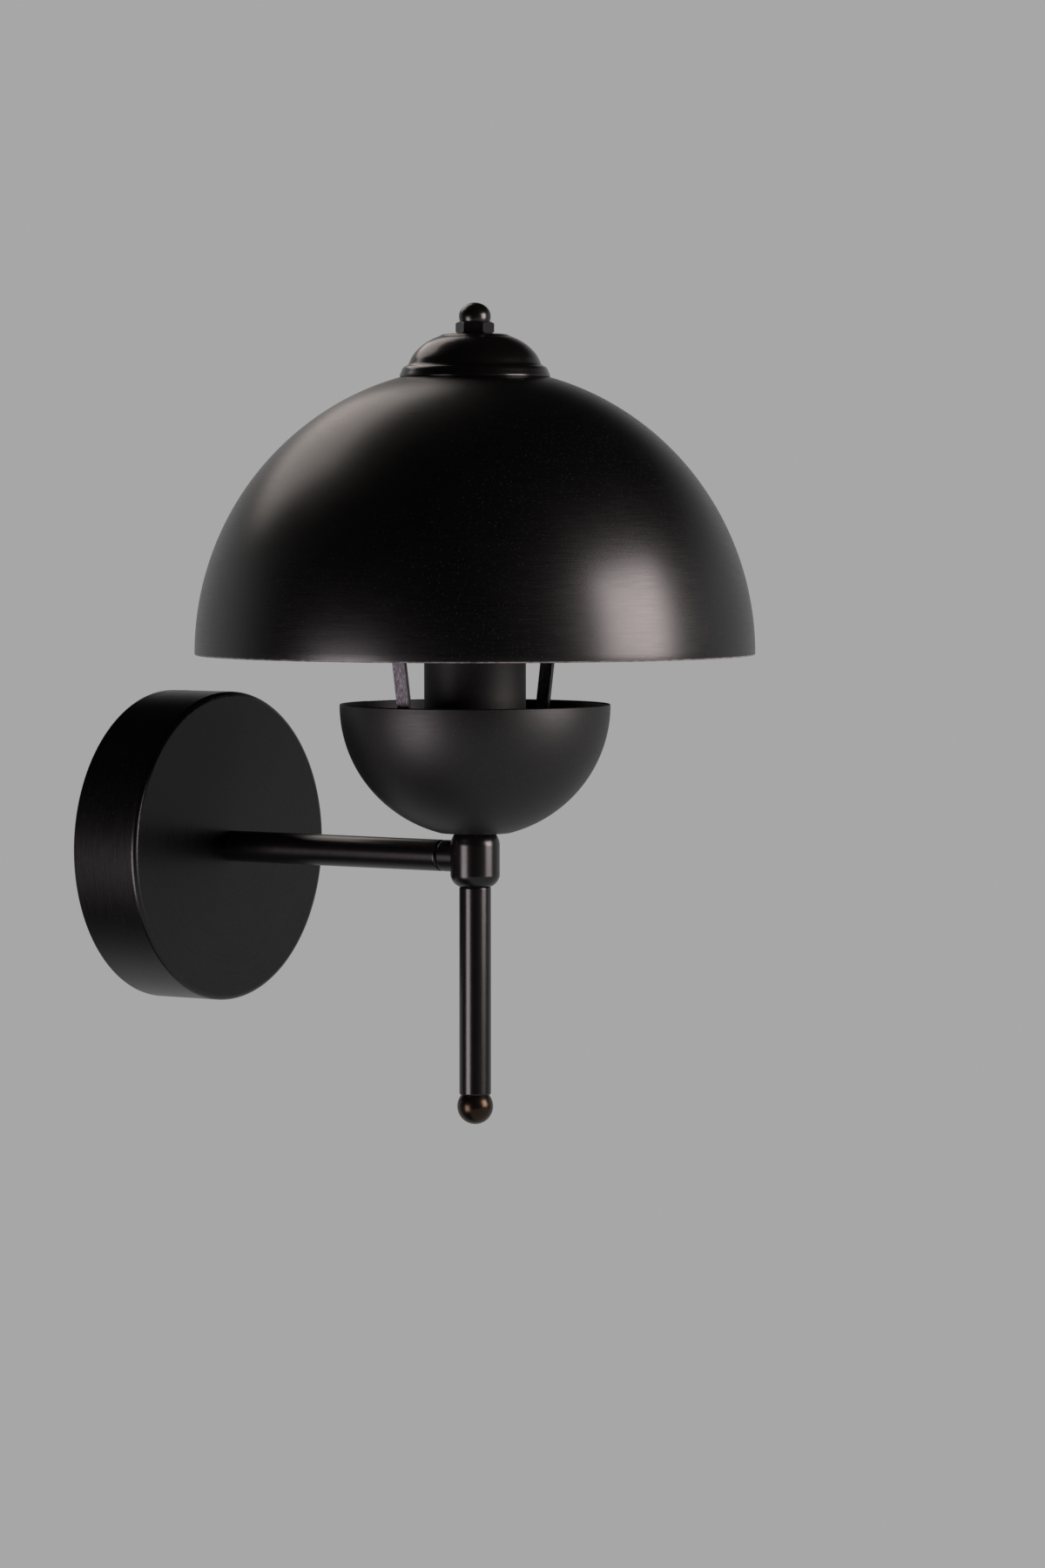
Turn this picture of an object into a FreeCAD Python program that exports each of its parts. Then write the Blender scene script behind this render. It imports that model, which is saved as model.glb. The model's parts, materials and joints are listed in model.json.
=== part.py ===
"""Mushroom-shaded wall light: a round wall canopy, a straight arm, a hub that carries a cup and a domed
shade above it, and a drop rod below. Every piece is a solid of its own, written to parts/NAME.step.

Frame, in millimetres: the wall is the plane y = 0 and the light reaches towards -Y. The origin is the middle
of the canopy's open back, and the arm lies along z = 0. The shade, cup, hub and rod share one upright axis.
"""
import FreeCAD
import Part
import math
import os

Vec = FreeCAD.Vector
ALONG_X = Vec(1, 0, 0)
ALONG_Y = Vec(0, 1, 0)
UP = Vec(0, 0, 1)

# Main sizes
CANOPY_RADIUS = 60.0
CANOPY_DEPTH = 30.0
REACH = 146.0            # wall to the upright axis
TUBE_RADIUS = 6.0        # arm and drop rod, 12 mm tube
TUBE_WALL = 1.0
SHEET = 1.0              # spun steel of the canopy, cup, shade and cap
STEM_RADIUS = 4.95       # M10 x 1 hollow threaded nipples
STEM_BORE = 3.4
STEM_HOLE = 5.1          # clearance hole for a nipple
STUD_RADIUS = 4.0        # M8 stud that carries the shade
STUD_HOLE = 4.3          # clearance hole for the stud
RUNNING_GAP = 0.05       # radial play of a turned piece on its thread or pin
CROWN_FLAT = 0.1         # tiny flat on top of turned crowns, as a share of their radius
NUT_CORNER_CONE = 0.6    # height of the cone that takes off a nut's corners, for each millimetre it takes off
MIDWAY = math.sqrt(0.5)  # sine and cosine half way round a quarter circle

# Upright positions, measured from the arm's axis
HUB_TOP = 9.2
HUB_BOTTOM = -11.1
ROD_BOTTOM = -90.2
CUP_RIM = 57.8
SHADE_RIM = 76.4
CAP_LIP = 180.7
CAP_TOP = 197.05

# Canopy and what it hides
CANOPY_EDGE = 2.0        # rounding of its front edge
STRAP_WIDTH = 18.0
STRAP_THICKNESS = 2.0
STRAP_HALF = 58.2        # middle of the strap to the outside of its end tabs
TAB_DEPTH = 14.0
STRAP_BEND = 2.5         # middle-line bend radius of the tabs
WALL_HOLE_SPACING = 70.0
WALL_HOLE_RADIUS = 2.25
GRUB_RADIUS = 2.0
GRUB_LENGTH = 7.6
GRUB_FROM_WALL = 8.0
GRUB_SUNK = 0.2          # how far it sits below the canopy's rim
GRUB_CLEARANCE = 0.15
GRUB_SOCKET = 1.0        # half width across the flats of its hexagon socket
GRUB_SOCKET_DEPTH = 2.0
BLOCK_SIZE = (18.0, 13.0, 12.0)
BLOCK_TOP = -16.0
BLOCK_MIDDLE = BLOCK_TOP - BLOCK_SIZE[2] / 2
POLE_OFFSET = 4.5
POLE_ROW = 3.2           # the clamp screws' height above and below the block's middle
POLE_SCREW_RADIUS = 1.6
BLOCK_SCREW_RADIUS = 1.45
BLOCK_SCREW_HEAD = (0.95, 1.8)     # radius and height
EARTH_HEIGHT = 16.0
EARTH_SCREW_RADIUS = 1.95
EARTH_SCREW_HEAD = (3.6, 2.4)
LUG_THICKNESS = 0.8
LUG_RADIUS = 4.6
LUG_BARREL = 1.6
WIRE_RADIUS = 0.9
WIRE_PITCH = 1.3         # half the spacing of the two leads inside the tube

# Arm and hub
NIPPLE_INSIDE = 12.0     # how far the arm's nipple stands out behind the canopy face
NIPPLE_GRIP = 12.0       # how far a nipple goes into a tube
THIN_NUT = 4.0           # M10 x 1 nut: height and half width across flats
THIN_NUT_FLAT = 7.0
THIN_WASHER = 1.2
THIN_WASHER_RADIUS = 8.5
HUB_RADIUS = 9.35
HUB_TOP_RADIUS = 7.4
HUB_BOTTOM_RADIUS = 6.3
HUB_STRAIGHT = (-7.0, 4.6)   # the cylindrical stretch of the hub
BOSS_RADIUS = 6.0
BOSS_END = 14.8          # the hub's axis to the end of its side boss
EDGE_ROUND = 1.2         # rounding of the boss beside the groove between it and the arm
ROD_ROUND = 0.8
HUB_BORE = 4.0

# Ball that closes the rod
ROD_BALL_RADIUS = 6.8
ROD_BALL_SINK = 4.3      # rod end to the ball's middle
BALL_SHANK = 8.0

# Cup
CUP_RADIUS = 51.1
CUP_RISE = 49.9

# Harp
HARP_WIDTH = 5.5
HARP_THICKNESS = 1.6
HARP_AT_CUP_RIM = 45.4   # the strip's distance from the axis level with the cup's rim
HARP_SLOPE = 0.1875      # how much further out it stands for each millimetre up
HARP_BOTTOM = 32.0       # middle plane of the saddle
HARP_TOP = 168.0         # middle plane of the bridge
HARP_BOW = 48.0          # radius of the bow
SADDLE_BEND = 4.0
SADDLE_END = 51.0
LOOP_START = 37.0
SADDLE_PAD = 9.0         # radius of the round pad in the middle of the saddle
BRIDGE_PAD = 8.0         # and of the one in the middle of the loop
HARP_SCREW_HEIGHT = 44.0
HARP_SCREW_RADIUS = 1.45
HARP_SCREW_LENGTH = 7.5
HARP_SCREW_HEAD = (2.3, 1.9)
HARP_NUT = 2.3
HARP_NUT_FLAT = 2.6

# Lampholder, screw size E27, in its sleeve
SLEEVE_RADIUS = 19.2
SLEEVE_WALL = 0.8
SLEEVE_TOP = 95.0
HOLDER_RADIUS = 17.6
HOLDER_BORE = 14.2
HOLDER_TOP = 88.0
HOLDER_BASE = 6.4
HOLDER_SHELF_WIDTH = 2.2
INSERT_SHELF = 50.0
INSERT_THICKNESS = 6.0
SHELL_RADIUS = 14.0
SHELL_INNER = 13.45
SHELL_TOP = 80.0
CONTACT_RADIUS = 3.0
CONTACT_HEIGHT = 2.7

# Bulb, a golf-ball shape with an E27 cap
BULB_BOTTOM = 59.0
BULB_CONTACT_RADIUS = 4.6
BULB_CONTACT_HEIGHT = 1.6
BULB_CAP_START = 64.0
BULB_CAP_RADIUS = 13.1
BULB_CAP_MOUTH = 11.8
BULB_THREAD_ROOT = 12.4
BULB_THREAD_PITCH = 3.6
BULB_THREAD_START = 66.0
BULB_THREAD_TURNS = 5
BULB_CAP_TOP = 86.5
BULB_WAIST = 17.2
BULB_RADIUS = 22.5
BULB_MIDDLE = 123.5
BULB_JOINT = 113.0       # where the housing meets the diffuser
BULB_WALL = 1.2

# Shade, cap and finial
SHADE_RADIUS = 105.6
SHADE_RISE = 107.7
SHADE_FLAT = 14.0        # flat spot at its top, where it is clamped
CAP_RADIUS = 28.3
LIP_SLANT = 0.35         # the lip's lower edge lies along the shade
CLAMP_NUT = 6.5          # M8 nut: height and half width across flats
CLAMP_NUT_FLAT = 6.5
CAP_NUT = 4.3            # the turned hexagon under the finial
CAP_NUT_FLAT = 6.3
SPACER_RADIUS = 6.0
SHADE_WASHER = 1.6
SHADE_WASHER_RADIUS = 10.0
STUD_BOTTOM = 158.5
FINIAL_RADIUS = 6.0
FINIAL_CROWN = 5.2       # the finial's upper half is a little flattened
FINIAL_SINK = 2.1        # nut to the finial's widest level
FINIAL_BORE = 5.0

# Levels that follow from these
SEAT = HUB_TOP + SHEET                                   # inside bottom of the cup
SADDLE_BASE = HARP_BOTTOM - HARP_THICKNESS / 2
SLEEVE_BASE = HARP_BOTTOM + HARP_THICKNESS / 2
HOLDER_SEAT = SLEEVE_BASE + SLEEVE_WALL
STEM_TOP = HOLDER_SEAT + HOLDER_BASE + 2.0
SHADE_TOP = SHADE_RIM + SHEET / 2 + SHADE_RISE * math.sqrt(1 - (SHADE_FLAT / SHADE_RADIUS) ** 2)
NUT_TOP = CAP_TOP + CAP_NUT
FINIAL_MIDDLE = NUT_TOP + FINIAL_SINK


# Drawing helpers: a profile lies in the X-Z plane and is turned about the upright axis

def line(a, b):
    return Part.LineSegment(Vec(a[0], 0, a[1]), Vec(b[0], 0, b[1])).toShape()


def arc(a, through, b):
    return Part.Arc(*[Vec(p[0], 0, p[1]) for p in (a, through, b)]).toShape()


def lines(points):
    return [line(a, b) for a, b in zip(points, points[1:])]


def quarter_ellipse(rim, radius, rise, stop):
    """Edge from (radius, rim) towards the apex at rim + rise, ended where its radius is stop."""
    middle, side, apex = Vec(0, 0, rim), Vec(radius, 0, rim), Vec(0, 0, rim + rise)
    turn = math.acos(stop / radius)
    if radius >= abs(rise):
        return Part.Arc(Part.Ellipse(side, apex, middle), 0, turn).toShape()
    return Part.Arc(Part.Ellipse(apex, side, middle), math.pi / 2 - turn, math.pi / 2).toShape()


def crown(brim, radius, rise):
    """Edges of a low rounded top that ends in a tiny flat, from (radius, brim) to the axis."""
    flat = radius * CROWN_FLAT
    top = brim + rise * math.sqrt(1 - CROWN_FLAT ** 2)
    return [quarter_ellipse(brim, radius, rise, flat), line((flat, top), (0, top))], (0, top)


def ball_arc(radius, middle, start, stop):
    """Arc of a ball about the upright axis, between two angles in degrees above its equator."""
    circle = Part.Circle(Vec(0, 0, middle), -ALONG_Y, radius)
    ends = []
    for angle in (math.radians(start), math.radians(stop)):
        ends.append(circle.parameter(Vec(radius * math.cos(angle), 0, middle + radius * math.sin(angle))))
    if ends[1] < ends[0]:
        ends[1] += 2 * math.pi
    return Part.Arc(circle, *ends).toShape()


def turned(edges):
    face = Part.Face(Part.Wire(Part.__sortEdges__(edges)))
    return face.revolve(Vec(), UP, 360)


def turned_points(points):
    return turned(lines(points + points[:1]))


def ring(outer, inner, low, high):
    return turned_points([(inner, low), (outer, low), (outer, high), (inner, high)])


def hexagon(flat, low, high):
    """Upright hexagonal prism, flat being half its width across the flats, with a flat facing -Y."""
    corner = flat / math.cos(math.pi / 6)
    turns = [k * math.pi / 3 for k in range(7)]
    points = [Vec(corner * math.cos(turn), corner * math.sin(turn), low) for turn in turns]
    return Part.Face(Part.makePolygon(points)).extrude(Vec(0, 0, high - low))


def nut(flat, hole, low, high):
    """Hexagon nut with both ends turned to a cone at the corners."""
    corner = flat / math.cos(math.pi / 6)
    drop = (corner - flat) * NUT_CORNER_CONE
    envelope = turned_points([(0, low), (flat, low), (corner, low + drop), (corner, high - drop),
                              (flat, high), (0, high)])
    return hexagon(flat, low, high).common(envelope).cut(Part.makeCylinder(hole, high - low, Vec(0, 0, low)))


def laid_back(shape, shift=0.0):
    """Turn an upright piece so that its +Z points to -Y, on the arm's axis."""
    return shape.rotated(Vec(), ALONG_X, 90).translated(Vec(0, shift, 0))


def on_axis(shape):
    return shape.translated(Vec(0, -REACH, 0))


def rounded_path(points, radii):
    """Straight runs through the points, joined by tangent arcs of the given radii."""
    edges, start = [], points[0]
    for before, corner, after, radius in zip(points, points[1:], points[2:], radii):
        back, ahead = (before - corner).normalize(), (after - corner).normalize()
        half = back.getAngle(ahead) / 2
        reach = radius / math.tan(half)
        middle = (back + ahead).normalize() * (radius / math.sin(half) - radius)
        first, last = corner + back * reach, corner + ahead * reach
        edges.append(Part.LineSegment(start, first).toShape())
        edges.append(Part.Arc(first, corner + middle, last).toShape())
        start = last
    edges.append(Part.LineSegment(start, points[-1]).toShape())
    return Part.Wire(edges)


def swept(path, section):
    return path.makePipeShell([section], True, False)


def wire_along(points, radii):
    heading = points[1] - points[0]
    section = Part.Wire(Part.makeCircle(WIRE_RADIUS, points[0], heading))
    return swept(rounded_path(points, radii), section)


def strip_along(points, radii, width, thickness, across):
    """Flat strip whose middle line runs through the points; across is the direction of its width."""
    side = across * (width / 2)
    face = (points[1] - points[0]).normalize().cross(across) * (thickness / 2)
    corners = [points[0] + way for way in (side + face, side - face, -side - face, -side + face)]
    return swept(rounded_path(points, radii), Part.makePolygon(corners + corners[:1]))


# Behind the canopy

def wall_bracket():
    half = STRAP_HALF - STRAP_THICKNESS / 2
    depth = STRAP_THICKNESS / 2
    points = [Vec(0, -TAB_DEPTH, half), Vec(0, -depth, half),
              Vec(0, -depth, -half), Vec(0, -TAB_DEPTH, -half)]
    strap = strip_along(points, [STRAP_BEND] * 2, STRAP_WIDTH, STRAP_THICKNESS, ALONG_X)
    for side in (-1, 1):
        hole = Vec(0, 1, side * WALL_HOLE_SPACING / 2)
        strap = strap.cut(Part.makeCylinder(WALL_HOLE_RADIUS, TAB_DEPTH, hole, -ALONG_Y))
        thread = Vec(0, -GRUB_FROM_WALL, side * (STRAP_HALF - 2 * STRAP_THICKNESS))
        tap = Part.makeCylinder(GRUB_RADIUS + RUNNING_GAP, 4 * STRAP_THICKNESS, thread, UP * side)
        strap = strap.cut(tap)
    for radius, height in ((EARTH_SCREW_RADIUS, EARTH_HEIGHT), (BLOCK_SCREW_RADIUS, BLOCK_MIDDLE)):
        thread = Vec(0, 1, height)
        strap = strap.cut(Part.makeCylinder(radius + RUNNING_GAP, TAB_DEPTH, thread, -ALONG_Y))
    return strap


def canopy():
    outer, edge = CANOPY_RADIUS, CANOPY_EDGE
    inner, lining = outer - SHEET, CANOPY_EDGE - SHEET
    bend = 1 - MIDWAY
    face, back = CANOPY_DEPTH, CANOPY_DEPTH - SHEET
    edges = lines([(STEM_HOLE, back), (STEM_HOLE, face), (outer - edge, face)])
    edges.append(arc((outer - edge, face), (outer - edge * bend, face - edge * bend),
                     (outer, face - edge)))
    edges += lines([(outer, face - edge), (outer, 0), (inner, 0), (inner, back - lining)])
    through = (inner - lining * bend, back - lining * bend)
    edges.append(arc((inner, back - lining), through, (inner - lining, back)))
    edges += lines([(inner - lining, back), (STEM_HOLE, back)])
    shell = laid_back(turned(edges))
    start = Vec(0, -GRUB_FROM_WALL, -outer - 1)
    return shell.cut(Part.makeCylinder(GRUB_RADIUS + GRUB_CLEARANCE, 2 * outer + 2, start))


def canopy_grub_screws():
    tip = CANOPY_RADIUS - GRUB_SUNK - GRUB_LENGTH
    body = Part.makeCylinder(GRUB_RADIUS, GRUB_LENGTH, Vec(0, 0, tip))
    socket = hexagon(GRUB_SOCKET, tip + GRUB_LENGTH - GRUB_SOCKET_DEPTH, tip + GRUB_LENGTH + 1)
    upper = body.cut(socket)
    lower = upper.rotated(Vec(), ALONG_X, 180)
    return Part.Compound([s.translated(Vec(0, -GRUB_FROM_WALL, 0)) for s in (upper, lower)])


def terminal_block():
    width, depth, height = BLOCK_SIZE
    low = BLOCK_TOP - height
    block = Part.makeBox(width, depth, height, Vec(-width / 2, -STRAP_THICKNESS - depth, low))
    waist = Part.makeBox(2, 3, height + 2, Vec(-1, -STRAP_THICKNESS - depth - 1, low - 1))
    block = block.cut(waist)
    through = Part.makeCylinder(BLOCK_SCREW_RADIUS + 0.1, 2 * depth, Vec(0, 0, BLOCK_MIDDLE), -ALONG_Y)
    block = block.cut(through)
    for x, z in pole_screw_places():
        hole = Vec(x, -STRAP_THICKNESS - depth - 1, z)
        block = block.cut(Part.makeCylinder(POLE_SCREW_RADIUS + RUNNING_GAP, 6, hole, ALONG_Y))
    return block


def pole_screw_places():
    rows = (BLOCK_MIDDLE - POLE_ROW, BLOCK_MIDDLE + POLE_ROW)
    return [(x, z) for x in (-POLE_OFFSET, POLE_OFFSET) for z in rows]


def terminal_screws():
    front = -STRAP_THICKNESS - BLOCK_SIZE[1]
    screws = []
    for x, z in pole_screw_places():
        body = Part.makeCylinder(POLE_SCREW_RADIUS, 4, Vec(x, front + 1, z), ALONG_Y)
        slot = Part.makeBox(0.6, 0.8, 4, Vec(x - 0.3, front + 1, z - 2))
        screws.append(body.cut(slot))
    return Part.Compound(screws)


def pan_screw(radius, length, head_radius, head_height):
    """Pan-head screw: its shank runs down from the origin and its slotted head stands above."""
    shank = Part.makeCylinder(radius, length, Vec(0, 0, -length))
    brim = head_height * 0.4
    edges, top = crown(brim, head_radius, head_height - brim)
    edges += lines([top, (0, 0), (head_radius, 0), (head_radius, brim)])
    width = head_radius * 0.3
    slot = Part.makeBox(width, 3 * head_radius, head_height,
                        Vec(-width / 2, -1.5 * head_radius, head_height * 0.45))
    return shank.fuse(turned(edges).cut(slot)).removeSplitter()


def terminal_block_screw():
    seat = STRAP_THICKNESS + BLOCK_SIZE[1] - 2
    screw = pan_screw(BLOCK_SCREW_RADIUS, seat, *BLOCK_SCREW_HEAD)
    return laid_back(screw, -seat).translated(Vec(0, 0, BLOCK_MIDDLE))


def earth_screw():
    seat = STRAP_THICKNESS + LUG_THICKNESS
    screw = pan_screw(EARTH_SCREW_RADIUS, seat, *EARTH_SCREW_HEAD)
    return laid_back(screw, -seat).translated(Vec(0, 0, EARTH_HEIGHT))


def lug(hole, radius, tail):
    """Flat ring with a crimped barrel beside it, lying on z = 0 with the barrel towards +X."""
    disc = ring(radius, hole, 0, LUG_THICKNESS)
    neck = Part.makeBox(tail - radius + 1.5, 2.4, LUG_THICKNESS, Vec(radius - 1.5, -1.2, 0))
    barrel = Part.makeCylinder(LUG_BARREL, 5, Vec(tail, 0, LUG_BARREL), ALONG_X)
    return disc.fuse([neck, barrel]).removeSplitter()


def earth_lug():
    piece = laid_back(lug(EARTH_SCREW_RADIUS + RUNNING_GAP, LUG_RADIUS, 6), -STRAP_THICKNESS)
    return piece.translated(Vec(0, 0, EARTH_HEIGHT))


def arm_earth_tag():
    face = -CANOPY_DEPTH + SHEET
    tag = lug(STEM_HOLE, THIN_WASHER_RADIUS, 10).rotated(Vec(), ALONG_X, 180)
    return laid_back(tag, face)


def earth_lead():
    near = -STRAP_THICKNESS - LUG_BARREL
    far = -CANOPY_DEPTH + SHEET + LUG_BARREL
    points = [Vec(11, near, EARTH_HEIGHT), Vec(29, near, EARTH_HEIGHT), Vec(31, far, 0), Vec(15, far, 0)]
    return wire_along(points, [8, 7])


def mains_lead(side):
    """One lead from the terminal block, through the arm and up into the lampholder."""
    middle = -STRAP_THICKNESS - BLOCK_SIZE[1] / 2
    pole, inside = side * POLE_OFFSET, side * WIRE_PITCH
    points = [Vec(pole, middle, BLOCK_TOP), Vec(pole, middle, BLOCK_TOP + 4), Vec(inside, middle, 0),
              Vec(inside, -REACH, 0), Vec(inside, -REACH, INSERT_SHELF)]
    return wire_along(points, [12, 5, 5])


def live_lead():
    return mains_lead(-1)


def neutral_lead():
    return mains_lead(1)


# Arm, hub and rod

def arm_nipple():
    start = -CANOPY_DEPTH + NIPPLE_INSIDE
    end = -CANOPY_DEPTH - NIPPLE_GRIP
    return laid_back(ring(STEM_RADIUS, STEM_BORE, -start, -end))


def arm_washer():
    back = CANOPY_DEPTH - SHEET - LUG_THICKNESS
    return laid_back(ring(THIN_WASHER_RADIUS, STEM_HOLE, back - THIN_WASHER, back))


def arm_locknut():
    back = CANOPY_DEPTH - SHEET - LUG_THICKNESS - THIN_WASHER
    return laid_back(nut(THIN_NUT_FLAT, STEM_RADIUS + RUNNING_GAP, back - THIN_NUT, back))


def tube_with_round_ends(low, high, low_round, high_round):
    bend = 1 - MIDWAY
    outer, inner = TUBE_RADIUS, TUBE_RADIUS - TUBE_WALL
    points = [(inner, low), (inner, high), (outer - high_round, high)]
    edges = lines(points)
    if high_round:
        through = (outer - high_round * bend, high - high_round * bend)
        edges.append(arc(points[-1], through, (outer, high - high_round)))
    edges.append(line((outer, high - high_round), (outer, low + low_round)))
    if low_round:
        through = (outer - low_round * bend, low + low_round * bend)
        edges.append(arc((outer, low + low_round), through, (outer - low_round, low)))
    edges.append(line((outer - low_round, low), (inner, low)))
    return turned(edges)


def arm_tube():
    end_round = TUBE_WALL * 0.9
    return laid_back(tube_with_round_ends(CANOPY_DEPTH, REACH - BOSS_END, 0, end_round))


def arm_hub_nipple():
    seat = REACH - BOSS_END
    return laid_back(ring(STEM_RADIUS, STEM_BORE, seat - NIPPLE_GRIP, REACH - HUB_BORE - 1.4))


def hub():
    low, high = HUB_STRAIGHT
    top, bottom = (HUB_TOP_RADIUS, HUB_TOP), (HUB_BOTTOM_RADIUS, HUB_BOTTOM)
    edges = lines([(0, HUB_BOTTOM), bottom])
    edges.append(arc(bottom, (HUB_RADIUS - 0.95, low - 2.3), (HUB_RADIUS, low)))
    edges.append(line((HUB_RADIUS, low), (HUB_RADIUS, high)))
    edges.append(arc((HUB_RADIUS, high), (HUB_RADIUS - 0.6, high + 2.6), top))
    edges += lines([top, (0, HUB_TOP), (0, HUB_BOTTOM)])
    body = turned(edges)
    tip, start = BOSS_END, BOSS_END - EDGE_ROUND
    bend = EDGE_ROUND * (1 - MIDWAY)
    boss_edges = lines([(0, tip), (0, 0), (BOSS_RADIUS, 0), (BOSS_RADIUS, start)])
    boss_edges.append(arc((BOSS_RADIUS, start), (BOSS_RADIUS - bend, tip - bend),
                          (BOSS_RADIUS - EDGE_ROUND, tip)))
    boss_edges.append(line((BOSS_RADIUS - EDGE_ROUND, tip), (0, tip)))
    boss = turned(boss_edges).rotated(Vec(), ALONG_X, -90)
    thread = STEM_RADIUS + RUNNING_GAP
    body = body.fuse(boss).removeSplitter()
    body = body.cut(Part.makeCylinder(HUB_BORE, HUB_TOP - HUB_BOTTOM, Vec(0, 0, HUB_BOTTOM)))
    body = body.cut(Part.makeCylinder(thread, HUB_TOP, Vec(0, 0, HUB_TOP - 5), UP))
    body = body.cut(Part.makeCylinder(thread, 6, Vec(0, 0, HUB_BOTTOM)))
    body = body.cut(Part.makeCylinder(HUB_BORE, tip, Vec(), ALONG_Y))
    body = body.cut(Part.makeCylinder(thread, tip, Vec(0, HUB_BORE + 1.4, 0), ALONG_Y))
    return on_axis(body)


def rod_nipple():
    return on_axis(ring(STEM_RADIUS, STEM_BORE, HUB_BOTTOM - NIPPLE_GRIP, HUB_BOTTOM + 6))


def drop_rod():
    return on_axis(tube_with_round_ends(ROD_BOTTOM, HUB_BOTTOM, ROD_ROUND, ROD_ROUND))


def rod_ball():
    middle = ROD_BOTTOM - ROD_BALL_SINK
    seat = math.sqrt(ROD_BALL_RADIUS ** 2 - ROD_BALL_SINK ** 2)
    shank = TUBE_RADIUS - TUBE_WALL - RUNNING_GAP
    edges = [ball_arc(ROD_BALL_RADIUS, middle, -90, math.degrees(math.asin(ROD_BALL_SINK / ROD_BALL_RADIUS)))]
    edges += lines([(seat, ROD_BOTTOM), (shank, ROD_BOTTOM), (shank, ROD_BOTTOM + BALL_SHANK),
                    (0, ROD_BOTTOM + BALL_SHANK), (0, middle - ROD_BALL_RADIUS)])
    return on_axis(turned(edges))


# Cup and lampholder

def stem_nipple():
    return on_axis(ring(STEM_RADIUS, STEM_BORE, HUB_TOP - 5, STEM_TOP))


def shell_of_ellipses(rim, radius, rise, flat_height, hole):
    """Spun bowl with a rolled rim and a flat, holed middle; rise is negative for a bowl that hangs down."""
    way = math.copysign(1, rise)
    base = rim + way * SHEET / 2
    outer_stop = radius * math.sqrt(1 - ((flat_height - base) / rise) ** 2)
    lining, inner_rise = radius - SHEET, rise - way * SHEET
    inner_flat = flat_height - way * SHEET
    inner_stop = lining * math.sqrt(1 - ((inner_flat - base) / inner_rise) ** 2)
    edges = [quarter_ellipse(base, radius, rise, outer_stop),
             quarter_ellipse(base, lining, inner_rise, inner_stop)]
    edges.append(arc((radius, base), (radius - SHEET / 2, rim), (lining, base)))
    edges += lines([(outer_stop, flat_height), (hole, flat_height), (hole, inner_flat),
                    (inner_stop, inner_flat)])
    return turned(edges)


def cup():
    return on_axis(shell_of_ellipses(CUP_RIM, CUP_RADIUS, -CUP_RISE, HUB_TOP, STEM_HOLE))


def cup_washer():
    return on_axis(ring(THIN_WASHER_RADIUS, STEM_HOLE, SEAT, SEAT + THIN_WASHER))


def cup_locknut():
    low = SEAT + THIN_WASHER
    return on_axis(nut(THIN_NUT_FLAT, STEM_RADIUS + RUNNING_GAP, low, low + THIN_NUT))


def saddle_locknut():
    return on_axis(nut(THIN_NUT_FLAT, STEM_RADIUS + RUNNING_GAP, SADDLE_BASE - THIN_NUT, SADDLE_BASE))


def lampholder_sleeve():
    low, outer, inner = SLEEVE_BASE, SLEEVE_RADIUS, SLEEVE_RADIUS - SLEEVE_WALL
    points = [(STEM_HOLE, low), (outer - 1, low), (outer, low + 1), (outer, SLEEVE_TOP),
              (inner, SLEEVE_TOP), (inner, low + SLEEVE_WALL + 0.6), (inner - 0.6, low + SLEEVE_WALL),
              (STEM_HOLE, low + SLEEVE_WALL)]
    return on_axis(turned_points(points))


def lampholder_body():
    low, thread = HOLDER_SEAT, STEM_RADIUS + RUNNING_GAP
    floor, cavity = low + HOLDER_BASE, HOLDER_BORE - HOLDER_SHELF_WIDTH
    points = [(thread, low), (HOLDER_RADIUS - 1, low), (HOLDER_RADIUS, low + 1),
              (HOLDER_RADIUS, HOLDER_TOP - 1), (HOLDER_RADIUS - 1, HOLDER_TOP), (HOLDER_BORE, HOLDER_TOP),
              (HOLDER_BORE, INSERT_SHELF), (cavity, INSERT_SHELF), (cavity, floor), (thread, floor)]
    return on_axis(turned_points(points))


def lampholder_insert():
    return on_axis(Part.makeCylinder(SHELL_RADIUS, INSERT_THICKNESS, Vec(0, 0, INSERT_SHELF)))


def lampholder_screw_shell():
    low, flange = INSERT_SHELF + INSERT_THICKNESS, SHELL_RADIUS - 4
    points = [(flange, low), (SHELL_RADIUS, low), (SHELL_RADIUS, SHELL_TOP), (SHELL_INNER, SHELL_TOP),
              (SHELL_INNER, low + 0.5), (flange, low + 0.5)]
    return on_axis(turned_points(points))


def lampholder_contact():
    low = INSERT_SHELF + INSERT_THICKNESS
    edges, top = crown(low + 1, CONTACT_RADIUS, CONTACT_HEIGHT - 1)
    edges += lines([top, (0, low), (CONTACT_RADIUS, low), (CONTACT_RADIUS, low + 1)])
    return on_axis(turned(edges))


# Bulb

def bulb_contact():
    low, high = BULB_BOTTOM, BULB_BOTTOM + BULB_CONTACT_HEIGHT
    bevel = BULB_CONTACT_HEIGHT / 2
    points = [(0, low), (BULB_CONTACT_RADIUS - 1, low), (BULB_CONTACT_RADIUS, low + bevel),
              (BULB_CONTACT_RADIUS, high), (0, high)]
    return on_axis(turned_points(points))


def bulb_cap_insulator():
    low = BULB_BOTTOM + BULB_CONTACT_HEIGHT
    points = [(0, low), (BULB_CONTACT_RADIUS, low), (BULB_CAP_MOUTH, BULB_CAP_START), (0, BULB_CAP_START)]
    return on_axis(turned_points(points))


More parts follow.
